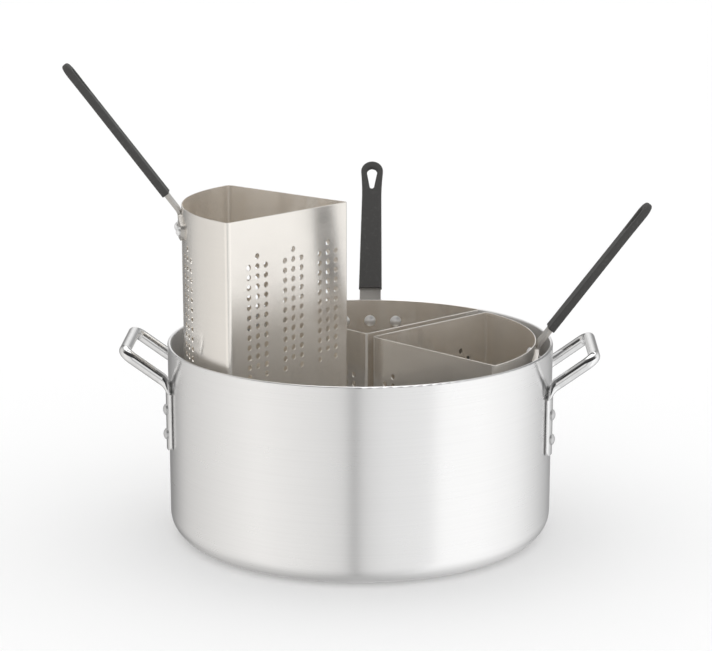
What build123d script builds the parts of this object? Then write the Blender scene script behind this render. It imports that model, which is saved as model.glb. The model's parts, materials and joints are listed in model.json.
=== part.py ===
from build123d import *
from math import asin, cos, degrees, radians, sin, sqrt, tan
import os

# Pasta cooker: an aluminium pot and three perforated insets that lift out.
# Millimetres, +Z up. The origin is the centre of the pot's flat base.
# X runs through the pot's two loop handles, and the pot's free quarter is at -Y.

# Pot
POT_RADIUS = 184.0
POT_HEIGHT = 185.4
POT_WALL = 3.0
POT_FLOOR = 4.0
POT_OUTER_CORNER = 21.0
POT_INNER_CORNER = 15.0
RIM_ROUND = 1.2

# Loop handles of the pot: one rod, bent into a U, with its two ends pressed flat.
# Each has its angle about +Z and its height off the nominal one.
ROD_RADIUS = 5.6
GRIP_BAR_REACH = 221.0
GRIP_BAR_HEIGHT = 183.0
ARM_SPREAD = 46.0
HANDLE_PLACES = {"right": (-3.0, -2.8), "left": (180.0, 0.0)}
ARM_RISE = radians(36.0)
ROD_CORNER = 9.5
LEG_BEND = 18.0
LEG_HALF_WIDTH = 9.5
LEG_HALF_THICKNESS = 2.6
LEG_SINK = 0.8
LEG_BOTTOM = 89.5
LEG_END_ROUND = 5.0
NECK_STEPS = 4

# Rivets of the loop handles: a head is (diameter, height), and its brim a share of the height
POT_RIVET_HEIGHTS = (104.4, 128.2)
POT_RIVET_SHANK = 5.0
POT_RIVET_OUTER_HEAD = (10.4, 3.2)
POT_RIVET_INNER_HEAD = (10.0, 2.0)
POT_RIVET_SEAT = 0.7
RIVET_BRIM = 0.3

# Insets: bent sheet, one quarter of the pot in plan
INSET_RADIUS = 168.0
INSET_HEIGHT = 181.0
INSET_APEX = 11.0
SHEET = 1.0
BEND = 4.0
PAN_HEIGHT = 8.0
PAN_CORNER = 4.0
TOP_EDGE_ROUND = 0.35
FLOOR_GAP = 2.3

# Where each inset stands: its handle's angle about +Z, its shift off the pot's axis
# (they sit loosely) and its height above its seat
INSET_PLACES = {
    "right_inset": (-1.7, (0.3, 2.5), 0.0),
    "back_inset": (88.4, (6.0, 3.0), 0.0),
    "left_inset": (183.3, (0.0, -5.0), 131.9),
}

# Perforation: groups of three columns, the middle column one row higher
HOLE_DIAMETER = 5.6
COLUMN_PITCH = 11.0
ROW_PITCH = 9.22
ROWS = 12
FIRST_ROW_DROP = 43.9
GROUP_SPACING = 46.9
GROUP_SHIFT_TO_APEX = 4.0
PAN_HOLE_PITCH = 13.0
PAN_HOLE_MARGIN = 8.0

# Inset handle: a steel strap that flares into a riveted plate
STRAP_WIDTH = 22.0
STRAP = 3.0
STRAP_RISE = radians(53.1)
STRAP_BEND = 11.0
PLATE_HALF_WIDTH = 36.0
PLATE_DROP = 30.0
PLATE_SHOULDER_DROP = 15.5
PLATE_NECK_DROP = 8.5
PLATE_ROUND = 6.5
STRAP_OVERLAP = 3.0
INSET_RIVET_DROP = 22.0
INSET_RIVET_SPACING = 27.2
INSET_RIVET_SHANK = 5.0
INSET_RIVET_INNER_HEAD = (11.5, 4.0)
INSET_RIVET_OUTER_HEAD = (8.8, 3.8)
INSET_RIVET_SEAT = 0.3

# Vinyl grip, dipped over the strap
GRIP_START_OUT = 13.7
GRIP_START_UP = 9.1
GRIP_LENGTH = 151.0
GRIP_THICKNESS = 7.0
GRIP_COAT = 1.0
GRIP_END_WIDTH = 24.0
GRIP_NECK_WIDTH = 20.8
GRIP_TIP_WIDTH = 23.5
GRIP_NECK_FROM_TIP = 42.0
GRIP_EDGE_ROUND = 2.4
HANG_HOLE_FROM_TIP = 8.0
HANG_HOLE_LENGTH = 25.0
HANG_HOLE_TOP_WIDTH = 10.9
HANG_HOLE_FOOT_WIDTH = 4.7


def turned(shape, angle, height=0.0):
    """The shape turned about the pot's axis and lifted."""
    return Pos(0, 0, height) * Rot(0, 0, angle) * shape


def rivet(inner_face, outer_face, shank, inner_head, outer_head, seat):
    """A rivet along +X. Its heads reach `seat` into the parts, to be cut to their surfaces."""
    inner_radius = inner_head[0] / 2
    outer_radius = outer_head[0] / 2
    inner_brim = inner_face - RIVET_BRIM * inner_head[1]
    outer_brim = outer_face + RIVET_BRIM * outer_head[1]
    inner_tip = inner_face - inner_head[1]
    outer_tip = outer_face + outer_head[1]
    outline = [
        TangentArc((outer_tip, 0), (outer_brim, outer_radius), tangent=(0, 1)),
        Polyline(
            (outer_brim, outer_radius),
            (outer_face - seat, outer_radius),
            (outer_face - seat, shank / 2),
            (inner_face + seat, shank / 2),
            (inner_face + seat, inner_radius),
            (inner_brim, inner_radius),
        ),
        TangentArc((inner_tip, 0), (inner_brim, inner_radius), tangent=(0, 1)),
        Line((inner_tip, 0), (outer_tip, 0)),
    ]
    return revolve(make_face(outline), axis=Axis.X)


def rivet_hole(shank):
    """A drill along +X, long enough for any wall here."""
    return Pos(POT_RADIUS, 0, 0) * Rot(0, 90, 0) * Cylinder(shank / 2, 60)


# ---------------------------------------------------------------- pot
def pot_shell():
    outer = Cylinder(POT_RADIUS, POT_HEIGHT, align=(Align.CENTER, Align.CENTER, Align.MIN))
    outer = fillet(outer.edges().group_by(Axis.Z)[0], POT_OUTER_CORNER)
    inner = Pos(0, 0, POT_FLOOR) * Cylinder(
        POT_RADIUS - POT_WALL, POT_HEIGHT, align=(Align.CENTER, Align.CENTER, Align.MIN)
    )
    inner = fillet(inner.edges().group_by(Axis.Z)[0], POT_INNER_CORNER)
    shell = outer - inner
    return fillet(shell.edges().group_by(Axis.Z)[-1], RIM_ROUND)


def pot_handle():
    """The +X loop handle, with both flattened legs cut to the pot's wall."""
    leg_reach = POT_RADIUS + LEG_HALF_THICKNESS - LEG_SINK
    leg_angle = degrees(asin(ARM_SPREAD / leg_reach))
    leg_x = leg_reach * cos(radians(leg_angle))
    leg_top = GRIP_BAR_HEIGHT - (GRIP_BAR_REACH - leg_x) * tan(ARM_RISE)
    bend_angle = radians(90) - ARM_RISE
    tangent = LEG_BEND * tan(bend_angle / 2)
    arm_start = leg_x + tangent * cos(ARM_RISE)
    arm_length = (GRIP_BAR_REACH - arm_start) / cos(ARM_RISE)

    loop_plane = Plane(
        origin=(arm_start, 0, leg_top + tangent * sin(ARM_RISE)),
        x_dir=(cos(ARM_RISE), 0, sin(ARM_RISE)),
        z_dir=(-sin(ARM_RISE), 0, cos(ARM_RISE)),
    )
    loop_path = loop_plane * FilletPolyline(
        (0, ARM_SPREAD), (arm_length, ARM_SPREAD), (arm_length, -ARM_SPREAD), (0, -ARM_SPREAD),
        radius=ROD_CORNER,
    )
    loop = sweep(Plane(origin=loop_path @ 0, z_dir=loop_path % 0) * Circle(ROD_RADIUS), loop_path)

    sections = []
    for step in range(NECK_STEPS + 1):
        share = step / NECK_STEPS
        turn = share * bend_angle
        slope = ARM_RISE + turn
        centre_x = leg_x + LEG_BEND - LEG_BEND * cos(bend_angle - turn)
        centre_z = leg_top - tangent + LEG_BEND * sin(bend_angle - turn)
        twist = radians(leg_angle) * share
        flat = share * share * (3 - 2 * share)
        half_width = ROD_RADIUS + (LEG_HALF_WIDTH - ROD_RADIUS) * flat
        half_thickness = ROD_RADIUS + (LEG_HALF_THICKNESS - ROD_RADIUS) * flat
        section_plane = Plane(
            origin=(centre_x, ARM_SPREAD, centre_z),
            x_dir=(-sin(twist), cos(twist), 0) if step == NECK_STEPS else (0, 1, 0),
            z_dir=(-cos(slope), 0, -sin(slope)),
        )
        sections.append(section_plane * Ellipse(half_width, half_thickness))
    neck = loft(sections)

    leg_height = leg_top - tangent - LEG_BOTTOM
    leg_plane = Plane(
        origin=(leg_x, ARM_SPREAD, LEG_BOTTOM),
        x_dir=(-sin(radians(leg_angle)), cos(radians(leg_angle)), 0),
        z_dir=(0, 0, 1),
    )
    leg = leg_plane * extrude(Ellipse(LEG_HALF_WIDTH, LEG_HALF_THICKNESS), leg_height)
    outline = Pos(0, leg_height) * Rectangle(2 * LEG_HALF_WIDTH, 2 * leg_height)
    outline = fillet(outline.vertices().group_by(Axis.Y)[0], LEG_END_ROUND)
    side_plane = Plane(origin=leg_plane.origin, x_dir=leg_plane.x_dir, z_dir=-leg_plane.y_dir)
    leg &= side_plane * extrude(outline, LEG_HALF_WIDTH, both=True)

    half = neck + leg
    handle = loop + half + mirror(half, about=Plane.XZ)
    handle -= Cylinder(POT_RADIUS, 3 * POT_HEIGHT)
    return handle, leg_angle


def pot_parts():
    plain_handle, leg_angle = pot_handle()
    shell = pot_shell()
    outer_face = POT_RADIUS + 2 * LEG_HALF_THICKNESS - LEG_SINK
    plain_rivet = rivet(
        POT_RADIUS - POT_WALL, outer_face, POT_RIVET_SHANK,
        POT_RIVET_INNER_HEAD, POT_RIVET_OUTER_HEAD, POT_RIVET_SEAT,
    )
    drill = rivet_hole(POT_RIVET_SHANK)
    nodes = {}
    for side, (handle_angle, shift) in HANDLE_PLACES.items():
        handle = turned(plain_handle, handle_angle, shift)
        places = [
            (handle_angle + way * leg_angle, height + shift)
            for way in (-1, 1)
            for height in POT_RIVET_HEIGHTS
        ]
        for angle, height in places:
            handle -= turned(drill, angle, height)
            shell -= turned(drill, angle, height)
        rivets = [turned(plain_rivet, angle, height) - handle - shell for angle, height in places]
        nodes[f"pot_handle_{side}"] = handle
        nodes[f"pot_handle_rivets_{side}"] = rivets
    nodes["pot_body"] = shell
    return nodes


# ---------------------------------------------------------------- insets
def sector(inward):
    """Plan outline of an inset, moved inward from its outer faces."""
    radius = INSET_RADIUS - inward
    apex = INSET_APEX + inward * sqrt(2)
    corner_x = (apex + sqrt(2 * radius**2 - apex**2)) / 2
    corner_y = corner_x - apex
    outline = [
        Line((apex, 0), (corner_x, -corner_y)),
        ThreePointArc((corner_x, -corner_y), (radius, 0), (corner_x, corner_y)),
        Line((corner_x, corner_y), (apex, 0)),
    ]
    face = make_face(outline)
    return fillet(face.vertices(), BEND - inward)


def drill_group():
    """Drills along +X for one group of holes, centred on y = 0, with z = 0 at the inset's top."""
    drill = Rot(0, 90, 0) * Cylinder(HOLE_DIAMETER / 2, 6 * SHEET)
    drills = []
    for column in (-1, 0, 1):
        first_drop = FIRST_ROW_DROP - ROW_PITCH * (column == 0)
        for row in range(ROWS):
            drills.append((column, row, Pos(0, 0, -first_drop - row * ROW_PITCH) * drill))
    return drills


def wall_drills():
    """Drills for the two flat walls and the curved wall."""
    drills = []
    wall_length = sqrt(2) * (INSET_APEX + sqrt(2 * INSET_RADIUS**2 - INSET_APEX**2)) / 2
    wall_length -= sqrt(2) * INSET_APEX
    for group in (-1, 0, 1):
        for column, row, drill in drill_group():
            under_plate = group == 0 and column == 0 and row == 0
            across = group * GROUP_SPACING + column * COLUMN_PITCH
            if not under_plate:
                angle = degrees(across / INSET_RADIUS)
                drills.append(Rot(0, 0, angle) * Pos(INSET_RADIUS, 0, 0) * drill)
            along = wall_length / 2 - GROUP_SHIFT_TO_APEX + across
            for side in (-1, 1):
                flat_wall = Pos(INSET_APEX, 0, 0) * Rot(0, 0, side * 45) * Pos(along, 0, 0)
                drills.append(flat_wall * Rot(0, 0, 90) * drill)
    return drills


def inset_wall():
    wall = extrude(sector(0) - sector(SHEET), INSET_HEIGHT - PAN_HEIGHT)
    wall = fillet(wall.edges().group_by(Axis.Z)[-1], TOP_EDGE_ROUND)
    wall = Pos(0, 0, PAN_HEIGHT - INSET_HEIGHT) * wall
    return wall - wall_drills()


def inset_bottom():
    """The pan that closes the inset: a rounded rim and a perforated floor."""
    pan = extrude(sector(0), PAN_HEIGHT)
    pan = fillet(pan.edges().group_by(Axis.Z)[0], PAN_CORNER)
    hollow = extrude(sector(SHEET), PAN_HEIGHT)
    hollow = Pos(0, 0, SHEET) * fillet(hollow.edges().group_by(Axis.Z)[0], PAN_CORNER - SHEET)
    pan -= hollow
    drill = Cylinder(HOLE_DIAMETER / 2, 6 * SHEET)
    drills = []
    row_pitch = PAN_HOLE_PITCH * sqrt(3) / 2
    rows = int(INSET_RADIUS / row_pitch)
    half_columns = int(INSET_RADIUS / PAN_HOLE_PITCH)
    wall_clearance = sqrt(2) * (PAN_CORNER + PAN_HOLE_MARGIN)
    for row in range(rows):
        x = INSET_APEX + row * row_pitch
        for column in range(-half_columns, half_columns + 1):
            y = (column + 0.5 * (row % 2)) * PAN_HOLE_PITCH
            off_the_walls = abs(y) < x - INSET_APEX - wall_clearance
            off_the_arc = x**2 + y**2 < (INSET_RADIUS - PAN_CORNER - PAN_HOLE_MARGIN) ** 2
            if off_the_walls and off_the_arc:
                drills.append(Pos(x, y, 0) * drill)
    return Pos(0, 0, -INSET_HEIGHT) * (pan - drills)


def grip_plane():
    """Plane of the strap: its x runs up the strap from the grip's lower end."""
    return Plane(
        origin=(INSET_RADIUS + GRIP_START_OUT, 0, GRIP_START_UP),
        x_dir=(cos(STRAP_RISE), 0, sin(STRAP_RISE)),
        z_dir=(-sin(STRAP_RISE), 0, cos(STRAP_RISE)),
    )


def grip_outline():
    """Straight taper to the neck, then an arc that runs tangent into the round tip."""
    end_y = GRIP_END_WIDTH / 2
    neck_y = GRIP_NECK_WIDTH / 2
    neck_x = GRIP_LENGTH - GRIP_NECK_FROM_TIP
    tip_radius = GRIP_TIP_WIDTH / 2
    tip_x = GRIP_LENGTH - tip_radius
    run = tip_x - neck_x
    flare_radius = (run**2 + neck_y**2 - tip_radius**2) / (2 * (tip_radius - neck_y))
    share = tip_radius / (tip_radius + flare_radius)
    join_x = tip_x - share * run
    join_y = share * (neck_y + flare_radius)
    edges = [Line((0, -end_y), (0, end_y))]
    edges.append(ThreePointArc((join_x, join_y), (GRIP_LENGTH, 0), (join_x, -join_y)))
    for side in (-1, 1):
        neck = (neck_x, side * neck_y)
        edges.append(Line((0, side * end_y), neck))
        edges.append(TangentArc(neck, (join_x, side * join_y), tangent=(1, 0)))
    return make_face(edges)


def hang_hole(extra):
    """Teardrop hole, `extra` larger all round."""
    top_radius = HANG_HOLE_TOP_WIDTH / 2
    foot_radius = HANG_HOLE_FOOT_WIDTH / 2
    top_x = GRIP_LENGTH - HANG_HOLE_FROM_TIP - top_radius
    foot_x = GRIP_LENGTH - HANG_HOLE_FROM_TIP - HANG_HOLE_LENGTH + foot_radius
    top = Pos(top_x, 0) * Circle(top_radius + extra)
    foot = Pos(foot_x, 0) * Circle(foot_radius + extra)
    return make_hull(top.edges() + foot.edges())


def handle_strap():
    """The steel handle: riveted plate, bend, bare strap and the core inside the grip."""
    outline = make_face(
        Polyline(
            (-STRAP_WIDTH / 2, 0), (STRAP_WIDTH / 2, 0),
            (STRAP_WIDTH / 2, -PLATE_NECK_DROP),
            (PLATE_HALF_WIDTH, -PLATE_SHOULDER_DROP),
            (PLATE_HALF_WIDTH, -PLATE_DROP),
            (-PLATE_HALF_WIDTH, -PLATE_DROP),
            (-PLATE_HALF_WIDTH, -PLATE_SHOULDER_DROP),
            (-STRAP_WIDTH / 2, -PLATE_NECK_DROP),
            close=True,
        )
    )
    corners = outline.vertices().filter_by(lambda corner: corner.Y < -PLATE_NECK_DROP / 2)
    outline = fillet(corners, PLATE_ROUND)
    outline -= Rectangle(2 * STRAP_WIDTH, 2 * PLATE_NECK_DROP)
    plate = Plane.YZ * extrude(outline, 2 * INSET_RADIUS)
    plate &= Cylinder(INSET_RADIUS + STRAP, 3 * PLATE_DROP) - Cylinder(INSET_RADIUS, 3 * PLATE_DROP)

    middle = INSET_RADIUS + STRAP / 2
    bend_z = GRIP_START_UP - (GRIP_START_OUT - STRAP / 2) * tan(STRAP_RISE)
    foot_z = STRAP_OVERLAP - PLATE_SHOULDER_DROP
    into_grip = grip_plane().from_local_coords((STRAP_WIDTH / 2, 0, 0))
    path = FilletPolyline(
        (middle, 0, foot_z), (middle, 0, bend_z), (into_grip.X, 0, into_grip.Z), radius=STRAP_BEND
    )
    strap = sweep(Pos(middle, 0, foot_z) * Rectangle(STRAP, STRAP_WIDTH), path)
    core = offset(grip_outline(), -GRIP_COAT) - hang_hole(GRIP_COAT)
    strap += grip_plane() * extrude(core, STRAP / 2, both=True)
    return plate + strap


def handle_grip(strap):
    body = extrude(grip_outline() - hang_hole(0), GRIP_THICKNESS / 2, both=True)
    rims = body.edges().filter_by(lambda edge: abs(abs(edge.center().Z) - GRIP_THICKNESS / 2) < 0.01)
    rims = [edge for edge in rims if edge.center().X > 1]
    body = fillet(rims, GRIP_EDGE_ROUND)
    return grip_plane() * body - strap


def inset_parts():
    """One inset with its handle along +X and z = 0 at its top edge."""
    wall = inset_wall()
    strap = handle_strap()
    grip = handle_grip(strap)
    plain_rivet = rivet(
        INSET_RADIUS - SHEET, INSET_RADIUS + STRAP, INSET_RIVET_SHANK,
        INSET_RIVET_INNER_HEAD, INSET_RIVET_OUTER_HEAD, INSET_RIVET_SEAT,
    )
    rivet_step = degrees(INSET_RIVET_SPACING / INSET_RADIUS)
    places = [step * rivet_step for step in (-1, 0, 1)]
    for angle in places:
        drill = turned(rivet_hole(INSET_RIVET_SHANK), angle, -INSET_RIVET_DROP)
        wall -= drill
        strap -= drill
    rivets = [turned(plain_rivet, angle, -INSET_RIVET_DROP) - wall - strap for angle in places]
    return {
        "wall": wall,
        "bottom": inset_bottom(),
        "handle": strap,
        "grip": grip,
        "rivets": rivets,
    }


def as_one(shape):
    """A list of solids as one compound, and anything else as it is."""
    if isinstance(shape, list):
        return Compound([solid for item in shape for solid in item.solids()])
    return shape


nodes = pot_parts()
plain_inset = inset_parts()
for inset, (angle, shift, lift) in INSET_PLACES.items():
    top = POT_FLOOR + FLOOR_GAP + INSET_HEIGHT + lift
    for piece, shape in plain_inset.items():
        nodes[f"{inset}_{piece}"] = Pos(*shift, top) * Rot(0, 0, angle) * as_one(shape)

os.makedirs("parts", exist_ok=True)
for name, shape in nodes.items():
    node = as_one(shape)
    export_step(node, f"parts/{name}.step")
    print(name, len(node.solids()), round(node.volume))
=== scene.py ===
import json
from math import pi, radians

import bpy
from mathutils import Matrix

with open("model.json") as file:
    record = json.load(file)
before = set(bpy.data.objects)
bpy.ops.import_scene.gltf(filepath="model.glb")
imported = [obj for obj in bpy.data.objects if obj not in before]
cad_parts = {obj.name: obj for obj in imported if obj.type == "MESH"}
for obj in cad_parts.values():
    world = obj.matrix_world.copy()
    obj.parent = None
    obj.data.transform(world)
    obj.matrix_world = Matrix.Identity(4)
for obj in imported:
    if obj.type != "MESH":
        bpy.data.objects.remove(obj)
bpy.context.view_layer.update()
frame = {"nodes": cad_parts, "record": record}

# ---- camera, in metres and degrees ----
CAMERA_PLACE = (-0.00395, -1.82372, 0.61253)
CAMERA_DIP = 12.833
CAMERA_LENS = 98.785
CAMERA_SHIFT_Y = 0.00217

# ---- finishes: the two greys that each one varies between, and its other values ----
POT_GREYS = (0.865, 0.895)
POT_WARMTH = 0.004
POT_INSIDE_RADIUS = 0.1815
POT_INSIDE_ROUGHNESS = 0.14
STEEL_METALLIC = 0.88
STEEL_WARMTH = 0.06
CHROME_GREYS = (0.80, 0.86)
RIVET_METALLIC = 0.75
VINYL_GREYS = (0.062, 0.084)
VINYL_WARMTH = 0.03
PAPER_GREYS = (0.95, 0.97)

# ---- studio ----
FLOOR_REACH = 30.0
PLAIN_WHITE = 1.06
MOST_BOUNCES = 20
GLOSSY_BOUNCES = 16
# What metal sees of the panels: their level by degrees round +Z from the front, and their
# level by height, from straight down at 0 to straight up at 1, in front and behind
PANEL_LEVEL = 1.14
SIDE_PANELS = [
    (-180, 0.85), (-172, 0.70), (-164, 0.18), (-152, 0.24), (-127, 0.58), (-63, 0.86),
    (-28, 0.76), (-7, 0.68), (-5, 0.28), (-2, 0.28), (0, 0.66), (16, 0.78), (42, 0.82),
    (48, 1.0), (75, 1.0), (105, 0.88), (125, 0.68), (150, 0.40), (164, 0.25), (172, 0.70),
    (180, 0.85),
]
FRONT_PANEL = [(0.0, 0.60), (0.08, 0.80), (0.20, 1.0), (0.66, 1.0), (0.71, 0.03), (1.0, 0.08)]
REAR_PANEL = [(0.0, 0.60), (0.08, 0.80), (0.20, 1.0), (0.80, 1.0), (0.90, 0.6), (1.0, 0.3)]
FRONT_TO_REAR = (-0.25, 0.15)
ROOF_DIRECTION = (0.0, 0.34, 0.94)
ROOF_EDGE = (0.82, 0.92)
ROOF_LEVEL = 1.4
WARM_SIDE = (-0.9, 0.3)
WARM_TINT = (1.015, 1.0, 0.98, 1)


class Nodes:
    """A thin helper that adds and joins shader nodes."""

    def __init__(self, tree):
        self.tree = tree

    def add(self, kind, **settings):
        node = self.tree.nodes.new(kind)
        for key, value in settings.items():
            setattr(node, key, value)
        return node

    def join(self, source, target):
        self.tree.links.new(source, target)

    def feed(self, socket, value):
        if isinstance(value, bpy.types.NodeSocket):
            self.join(value, socket)
        else:
            socket.default_value = value

    def math(self, operation, a, b):
        node = self.add("ShaderNodeMath", operation=operation)
        for socket, value in zip(node.inputs, (a, b)):
            self.feed(socket, value)
        return node.outputs[0]

    def vector(self, operation, a, b=(0, 0, 0)):
        """A step of vector maths. A length and a dot product come out as a number."""
        node = self.add("ShaderNodeVectorMath", operation=operation)
        self.feed(node.inputs[0], a)
        self.feed(node.inputs[1], b)
        return node.outputs["Value"] if operation in ("LENGTH", "DOT_PRODUCT") else node.outputs[0]

    def combine(self, x, y, z):
        node = self.add("ShaderNodeCombineXYZ")
        for socket, value in zip(node.inputs, (x, y, z)):
            self.feed(socket, value)
        return node.outputs[0]

    def split(self, vector):
        node = self.add("ShaderNodeSeparateXYZ")
        self.join(vector, node.inputs[0])
        return node.outputs

    def noise(self, vector, scale, detail=2.0, roughness=0.5):
        node = self.add("ShaderNodeTexNoise")
        self.join(vector, node.inputs["Vector"])
        node.inputs["Scale"].default_value = scale
        node.inputs["Detail"].default_value = detail
        node.inputs["Roughness"].default_value = roughness
        return node.outputs[0]

    def spread(self, value, low, high, from_low=0.0, from_high=1.0, smooth=False):
        node = self.add("ShaderNodeMapRange")
        node.interpolation_type = "SMOOTHSTEP" if smooth else "LINEAR"
        self.feed(node.inputs["Value"], value)
        node.inputs["From Min"].default_value = from_low
        node.inputs["From Max"].default_value = from_high
        node.inputs["To Min"].default_value = low
        node.inputs["To Max"].default_value = high
        return node.outputs[0]

    def contrast(self, noise):
        """Stretches a noise's usual range to 0..1."""
        return self.spread(noise, 0.0, 1.0, from_low=0.3, from_high=0.7)

    def blend(self, factor, a, b):
        node = self.add("ShaderNodeMix", data_type="RGBA")
        self.feed(node.inputs["Factor"], factor)
        for socket, value in zip((node.inputs[6], node.inputs[7]), (a, b)):
            self.feed(socket, value)
        return node.outputs[2]

    def ramp(self, value, stops):
        node = self.add("ShaderNodeValToRGB")
        self.feed(node.inputs[0], value)
        elements = node.color_ramp.elements
        while len(elements) < len(stops):
            elements.new(0.5)
        for element, (place, level) in zip(elements, stops):
            element.position = place
            element.color = grey(level)
        return node.outputs[0]

    def bump(self, height, strength, distance, normal=None):
        node = self.add("ShaderNodeBump")
        node.inputs["Strength"].default_value = strength
        node.inputs["Distance"].default_value = distance
        self.join(height, node.inputs["Height"])
        if normal is not None:
            self.join(normal, node.inputs["Normal"])
        return node.outputs[0]


def make_material(name):
    material = bpy.data.materials.new(name)
    material.use_nodes = True
    nodes = Nodes(material.node_tree)
    return material, nodes, material.node_tree.nodes["Principled BSDF"].inputs


def grey(level, warmth=0.0):
    """A grey, with blue taken off and a little red added as it warms."""
    return (level * (1 + 0.7 * warmth), level, level * (1 - warmth), 1)


# ---------------------------------------------------------------- metals
def tangent_across(n, grain):
    """The surface direction at right angles to the grain, along which light smears."""
    normal = n.add("ShaderNodeNewGeometry").outputs["Normal"]
    return n.vector("NORMALIZE", n.vector("CROSS_PRODUCT", normal, grain))


def spun_aluminium():
    """Satin aluminium, spun round the pot's axis, with faint broad unevenness."""
    material, n, sockets = make_material("pot_aluminium")
    place = n.add("ShaderNodeTexCoord").outputs["Object"]
    x, y, z = n.split(place)
    radius = n.vector("LENGTH", n.combine(x, y, 0.0))
    round_x = n.math("DIVIDE", x, radius)
    round_y = n.math("DIVIDE", y, radius)
    along, across = 1.2, 900.0
    grain_place = n.combine(
        n.math("MULTIPLY", round_x, along),
        n.math("MULTIPLY", round_y, along),
        n.math("MULTIPLY", n.math("ADD", z, radius), across),
    )
    grain = n.noise(grain_place, 1.0, detail=3.0, roughness=0.6)
    broad = n.noise(place, 9.0, detail=2.0)
    smudge = n.noise(place, 26.0, detail=4.0, roughness=0.6)
    dark, light = (grey(level, POT_WARMTH) for level in POT_GREYS)
    n.join(n.blend(n.contrast(grain), dark, light), sockets["Base Color"])
    sockets["Metallic"].default_value = 1.0
    inside = n.math("LESS_THAN", radius, POT_INSIDE_RADIUS)
    inner = n.math("MULTIPLY", inside, POT_INSIDE_ROUGHNESS)
    polish = n.math("ADD", n.spread(smudge, 0.26, 0.30), inner)
    rough = n.math("ADD", polish, n.spread(grain, -0.015, 0.02))
    n.join(rough, sockets["Roughness"])
    sockets["Anisotropic"].default_value = 0.8
    around = n.combine(n.math("MULTIPLY", y, -1.0), x, 0.0)
    n.join(tangent_across(n, around), sockets["Tangent"])
    waves = n.bump(broad, 0.05, 0.001)
    n.join(n.bump(grain, 0.04, 0.00002, waves), sockets["Normal"])
    return material


def sheet_steel(name, level, rough_low, rough_high, anisotropic):
    """Bright stainless sheet: level rolling grain, soft dents, light handling marks."""
    material, n, sockets = make_material(name)
    place = n.add("ShaderNodeTexCoord").outputs["Object"]
    x, y, z = n.split(place)
    along, across = 14.0, 1200.0
    grain_place = n.combine(
        n.math("MULTIPLY", x, along), n.math("MULTIPLY", y, along), n.math("MULTIPLY", z, across)
    )
    grain = n.noise(grain_place, 1.0, detail=3.0, roughness=0.6)
    wave = n.noise(place, 6.0, detail=1.0)
    marks = n.noise(place, 40.0, detail=4.0, roughness=0.6)
    dark, light = grey(level, STEEL_WARMTH), grey(level * 1.03, STEEL_WARMTH)
    n.join(n.blend(n.contrast(grain), dark, light), sockets["Base Color"])
    sockets["Metallic"].default_value = STEEL_METALLIC
    rough = n.spread(marks, rough_low, rough_high, from_low=0.35, from_high=0.7)
    n.join(rough, sockets["Roughness"])
    sockets["Anisotropic"].default_value = anisotropic
    normal = n.add("ShaderNodeNewGeometry").outputs["Normal"]
    level_grain = n.vector("CROSS_PRODUCT", (0.02, 0.01, 1.0), normal)
    n.join(tangent_across(n, level_grain), sockets["Tangent"])
    waves = n.bump(wave, 0.10, 0.001)
    n.join(n.bump(grain, 0.03, 0.00001, waves), sockets["Normal"])
    return material


def plated_chrome():
    """Bright plating with hairline polish marks and a slight orange peel."""
    material, n, sockets = make_material("handle_chrome")
    place = n.add("ShaderNodeTexCoord").outputs["Object"]
    peel = n.noise(place, 140.0, detail=2.0)
    marks = n.noise(place, 900.0, detail=3.0)
    dark, light = (grey(level) for level in CHROME_GREYS)
    n.join(n.blend(n.contrast(peel), dark, light), sockets["Base Color"])
    sockets["Metallic"].default_value = 1.0
    n.join(n.spread(marks, 0.05, 0.12, from_low=0.3, from_high=0.8), sockets["Roughness"])
    n.join(n.bump(peel, 0.08, 0.0004), sockets["Normal"])
    return material


def rivet_metal(name, level):
    """Set rivets: satin heads with tool marks."""
    material, n, sockets = make_material(name)
    place = n.add("ShaderNodeTexCoord").outputs["Object"]
    marks = n.noise(place, 700.0, detail=3.0)
    tone = n.noise(place, 180.0, detail=2.0)
    n.join(n.blend(tone, grey(level * 0.9), grey(level * 1.1)), sockets["Base Color"])
    sockets["Metallic"].default_value = RIVET_METALLIC
    n.join(n.spread(marks, 0.34, 0.46), sockets["Roughness"])
    n.join(n.bump(marks, 0.12, 0.0001), sockets["Normal"])
    return material


def dipped_vinyl():
    """Matte dark vinyl: fine grain, soft lumps, faint scuffs."""
    material, n, sockets = make_material("grip_vinyl")
    place = n.add("ShaderNodeTexCoord").outputs["Object"]
    grain = n.noise(place, 1800.0, detail=2.0)
    lumps = n.noise(place, 90.0, detail=2.0)
    scuffs = n.noise(place, 240.0, detail=6.0, roughness=0.7)
    worn = n.spread(scuffs, 0.0, 1.0, from_low=0.5, from_high=0.75, smooth=True)
    dark, light = (grey(level, VINYL_WARMTH) for level in VINYL_GREYS)
    n.join(n.blend(worn, dark, light), sockets["Base Color"])
    n.join(n.spread(lumps, 0.46, 0.60), sockets["Roughness"])
    sockets["Specular IOR Level"].default_value = 0.18
    soft = n.bump(lumps, 0.25, 0.0006)
    n.join(n.bump(grain, 0.25, 0.00008, soft), sockets["Normal"])
    return material


# ---------------------------------------------------------------- studio
def make_camera():
    data = bpy.data.cameras.new("camera")
    data.sensor_width = 36.0
    data.lens = CAMERA_LENS
    data.shift_y = CAMERA_SHIFT_Y
    camera = bpy.data.objects.new("camera", data)
    camera.location = CAMERA_PLACE
    camera.rotation_euler = (radians(90 - CAMERA_DIP), 0, 0)
    bpy.context.collection.objects.link(camera)
    bpy.context.scene.camera = camera


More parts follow.
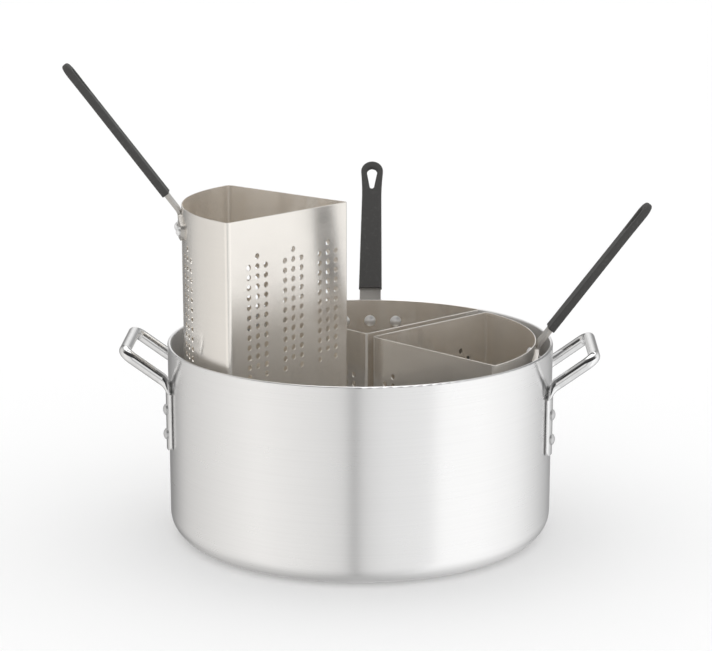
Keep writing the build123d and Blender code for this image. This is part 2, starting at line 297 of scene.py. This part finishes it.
def make_floor():
    mesh = bpy.data.meshes.new("floor")
    far = FLOOR_REACH
    corners = [(-far, -far, 0), (far, -far, 0), (far, far, 0), (-far, far, 0)]
    mesh.from_pydata(corners, [], [(0, 1, 2, 3)])
    floor = bpy.data.objects.new("floor", mesh)
    bpy.context.collection.objects.link(floor)
    material, n, sockets = make_material("floor_paper")
    place = n.add("ShaderNodeTexCoord").outputs["Object"]
    cloud = n.noise(place, 1.5, detail=2.0)
    dark, light = (grey(level) for level in PAPER_GREYS)
    n.join(n.blend(cloud, dark, light), sockets["Base Color"])
    sockets["Roughness"].default_value = 0.9
    sockets["Specular IOR Level"].default_value = 0.1
    mesh.materials.append(material)
    floor.visible_glossy = False


def make_world():
    """A white tent: metal sees its panels and dark gaps, all else sees plain white."""
    world = bpy.data.worlds.new("studio")
    world.use_nodes = True
    bpy.context.scene.world = world
    n = Nodes(world.node_tree)
    background = world.node_tree.nodes["Background"]
    direction = n.add("ShaderNodeTexCoord").outputs["Generated"]
    x, y, z = n.split(direction)
    turn = n.math("ARCTAN2", x, n.math("MULTIPLY", y, -1.0))
    share = n.spread(turn, 0.0, 1.0, from_low=-pi, from_high=pi)
    side = n.ramp(share, [(degrees / 360 + 0.5, level) for degrees, level in SIDE_PANELS])
    height = n.spread(z, 0.0, 1.0, from_low=-1.0, from_high=1.0)
    front = n.ramp(height, FRONT_PANEL)
    rear = n.ramp(height, REAR_PANEL)
    tall = n.blend(n.spread(y, 0.0, 1.0, *FRONT_TO_REAR), front, rear)
    panels = n.math("MULTIPLY", n.math("MULTIPLY", side, tall), PANEL_LEVEL)
    above = n.vector("DOT_PRODUCT", direction, ROOF_DIRECTION)
    roof = n.spread(above, 0.0, ROOF_LEVEL, *ROOF_EDGE)
    warm = n.spread(x, 0.0, 1.0, *WARM_SIDE)
    tint = n.blend(warm, WARM_TINT, grey(1.0))
    studio = n.vector("MULTIPLY", n.math("ADD", panels, roof), tint)
    path = n.add("ShaderNodeLightPath")
    seen = n.blend(path.outputs["Is Glossy Ray"], grey(PLAIN_WHITE), studio)
    n.join(seen, background.inputs["Color"])
    background.inputs["Strength"].default_value = 1.0


def dress(node, material):
    """Gives a CAD node its finish."""
    mesh = frame["nodes"][node].data
    mesh.materials.clear()
    mesh.materials.append(material)


materials = {
    "pot_aluminium": spun_aluminium(),
    "handle_chrome": plated_chrome(),
    "pot_rivet": rivet_metal("pot_rivet", level=0.60),
    "inset_steel": sheet_steel(
        "inset_steel", level=0.84, rough_low=0.17, rough_high=0.21, anisotropic=0.90
    ),
    "strap_steel": sheet_steel(
        "strap_steel", level=0.56, rough_low=0.34, rough_high=0.44, anisotropic=0.3
    ),
    "grip_vinyl": dipped_vinyl(),
    "inset_rivet": rivet_metal("inset_rivet", level=0.86),
}
for part in frame["record"]["subparts"]:
    dress(part["node"], materials[part["material_slot"]])

make_camera()
make_floor()
make_world()
bpy.context.scene.view_settings.view_transform = "Standard"
bpy.context.scene.cycles.max_bounces = MOST_BOUNCES
bpy.context.scene.cycles.glossy_bounces = GLOSSY_BOUNCES
